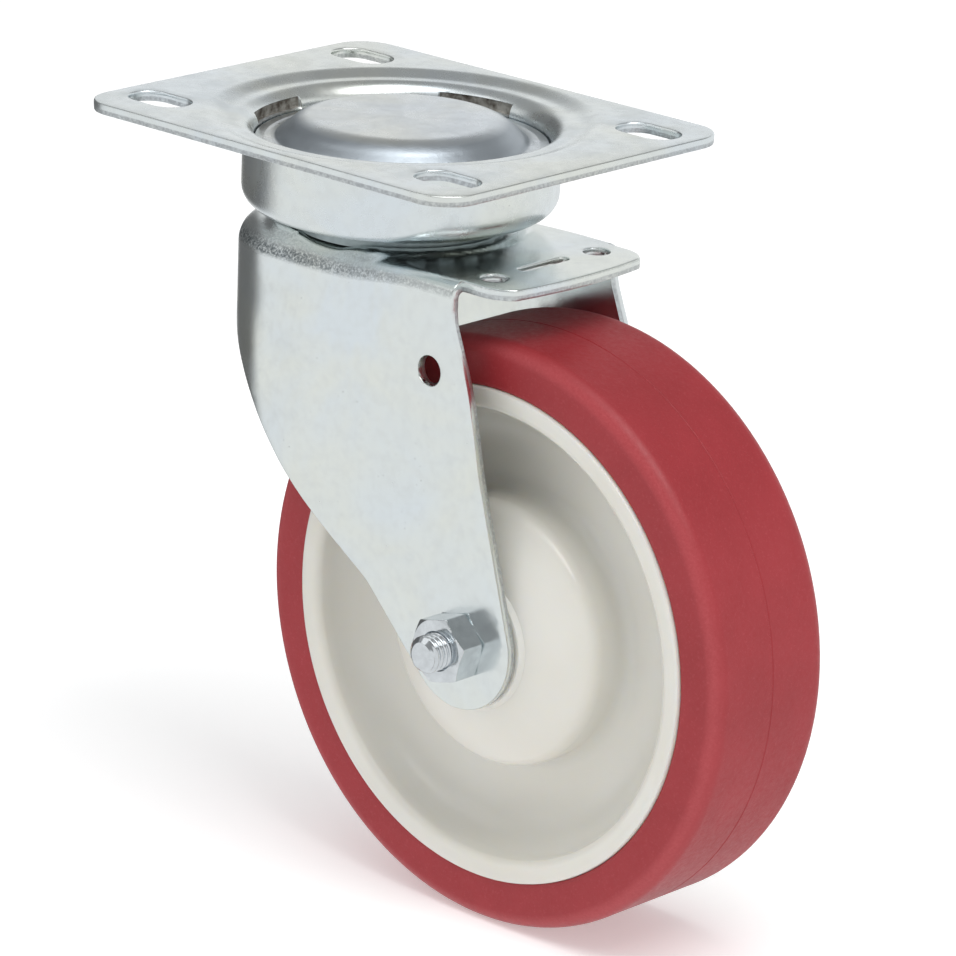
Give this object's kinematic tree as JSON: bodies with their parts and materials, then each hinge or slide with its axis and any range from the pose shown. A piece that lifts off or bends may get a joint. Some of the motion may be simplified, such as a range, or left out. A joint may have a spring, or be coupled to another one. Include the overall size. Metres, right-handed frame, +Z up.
{
  "type": "swivel plate castor",
  "caption": "Swivel castor with a slotted top plate, double ball race, pressed steel fork and a roller-bearing wheel with a red polyurethane tyre.",
  "frame": {"origin": "centre of the top plate's mounting face, on the swivel axis", "axes": "+Z up along the swivel axis out of the mounting face, +X along the plate's long side toward the trailing wheel, +Y along the axle toward the bolt head"},
  "size_m": [0.159, 0.085, 0.1605],
  "materials": {
    "zinc": "bright zinc plating, satin",
    "race_steel": "ground steel",
    "ball_steel": "polished",
    "cage_steel": "dull pressed sheet",
    "rivet_steel": "zinc plating",
    "fastener": "bright zinc plating",
    "seal_rubber": "matt",
    "cap_plastic": "moulded",
    "nylon": "moulded, semi-gloss",
    "polyurethane": "satin"
  },
  "bodies": {
    "plate": {"top_plate": "zinc", "upper_race": "race_steel"},
    "fork": {"fork": "zinc", "swivel_dome": "zinc", "swivel_rivet": "rivet_steel", "lower_race": "race_steel", "grease_seal": "seal_rubber", "axle_bolt": "fastener", "axle_nut": "fastener", "spring_washer": "fastener", "axle_tube": "race_steel"},
    "upper_ball_ring": {"upper_balls": "ball_steel", "upper_ball_cage": "cage_steel"},
    "lower_ball_ring": {"lower_balls": "ball_steel", "lower_ball_cage": "cage_steel"},
    "wheel": {"tyre": "polyurethane", "wheel_centre": "nylon", "bearing_sleeve": "race_steel", "end_cap_left": "cap_plastic", "end_cap_right": "cap_plastic"},
    "rollers": {"bearing_rollers": "ball_steel", "roller_cage": "cage_steel"}
  },
  "joints": [
    {"name": "swivel", "type": "hinge", "parent": "plate", "child": "fork", "pos_m": [0, 0, 0], "axis": [0, 0, 1], "continuous": true},
    {"name": "upper_balls_turn", "type": "hinge", "parent": "plate", "child": "upper_ball_ring", "pos_m": [0, 0, 0], "axis": [0, 0, 1], "continuous": true},
    {"name": "lower_balls_turn", "type": "hinge", "parent": "plate", "child": "lower_ball_ring", "pos_m": [0, 0, 0], "axis": [0, 0, 1], "continuous": true},
    {"name": "wheel_spin", "type": "hinge", "parent": "fork", "child": "wheel", "pos_m": [0.044, 0, -0.098], "axis": [0, 1, 0], "continuous": true},
    {"name": "rollers_turn", "type": "hinge", "parent": "fork", "child": "rollers", "pos_m": [0.044, 0, -0.098], "axis": [0, 1, 0], "continuous": true}
  ],
  "couplings": [
    {"joint": "upper_balls_turn", "follows": "swivel", "ratio": 0.5},
    {"joint": "lower_balls_turn", "follows": "swivel", "ratio": 0.5},
    {"joint": "rollers_turn", "follows": "wheel_spin", "ratio": 0.6144}
  ]
}
